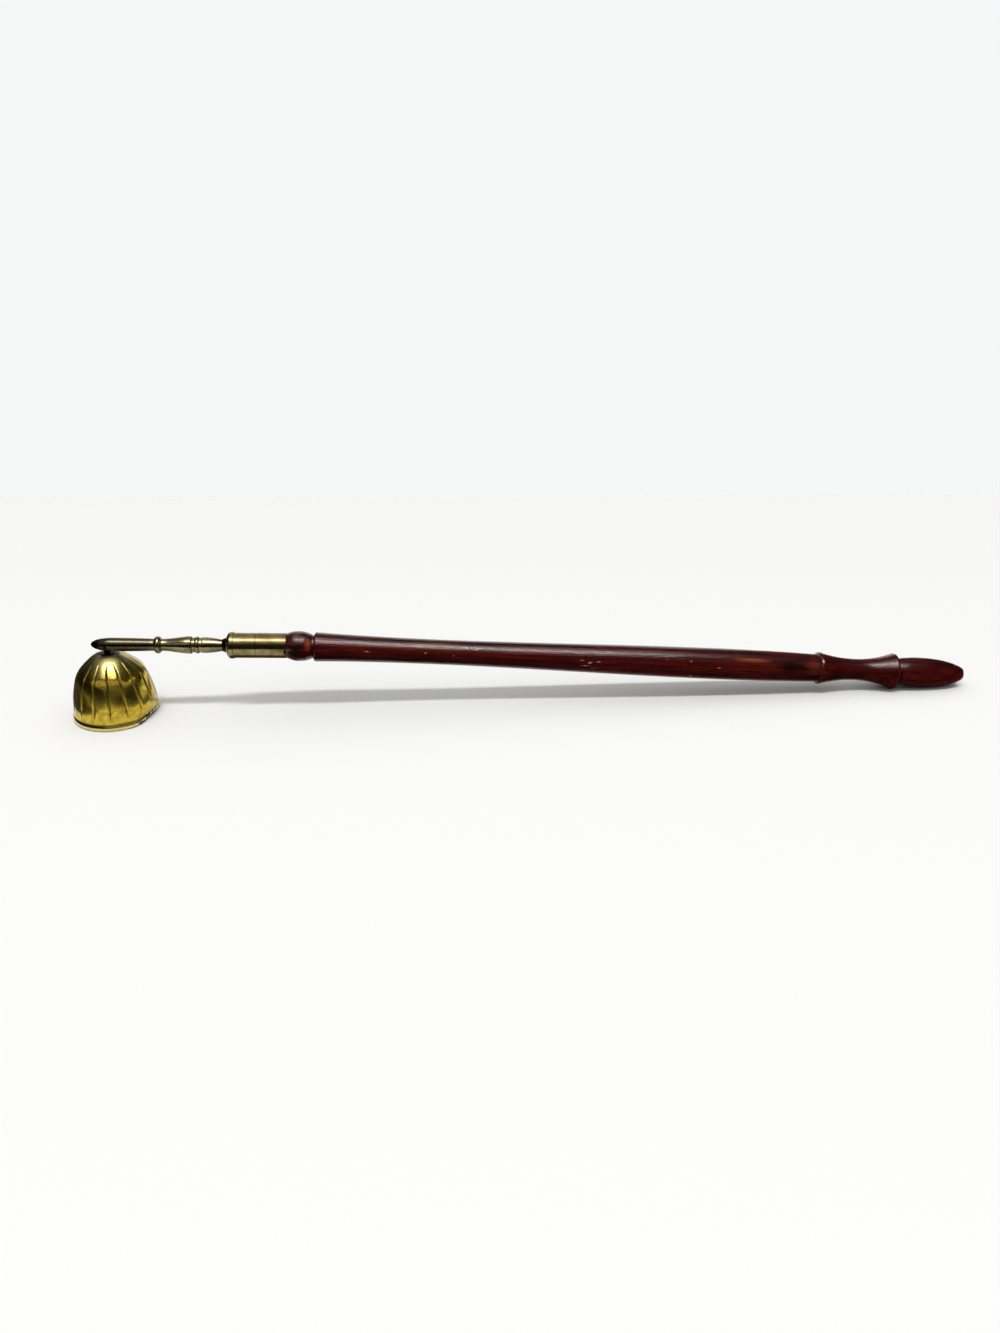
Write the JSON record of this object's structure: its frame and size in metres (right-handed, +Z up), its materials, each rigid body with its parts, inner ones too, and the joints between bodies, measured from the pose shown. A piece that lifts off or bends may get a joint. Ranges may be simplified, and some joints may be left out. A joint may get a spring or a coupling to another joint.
{
  "type": "candle snuffer",
  "caption": "Candle snuffer: fluted brass bell hinged under a turned brass stem, on a long turned and lacquered wooden handle, for putting out a candle flame from arm's length.",
  "frame": {"origin": "middle of the base, on the table that the bell's rim and the handle's rear collar rest on", "axes": "+X along the handle from the bell to the knob, +Y to the far side, +Z up"},
  "size_m": [0.3248, 0.03, 0.0296],
  "materials": {
    "bell_brass": "spun, polished, tarnished",
    "hinge_brass": "plain, tarnished",
    "stem_brass": "turned, polished, dulled",
    "ferrule_brass": "turned, satin",
    "handle_wood": "turned hardwood, dark red lacquer"
  },
  "bodies": {
    "handle_and_stem": {"handle": "handle_wood", "rear_ferrule": "ferrule_brass", "front_ferrule": "ferrule_brass", "stem": "stem_brass", "pivot_pin": "hinge_brass"},
    "bell": {"bell": "bell_brass", "bell_lug": "hinge_brass", "crown_washer": "hinge_brass"}
  },
  "joints": [
    {"name": "bell_tilt", "type": "hinge", "parent": "handle_and_stem", "child": "bell", "pos_m": [-0.14742, 0, 0.02624], "axis": [0, 1, 0], "range_deg": [-10, 22]}
  ]
}
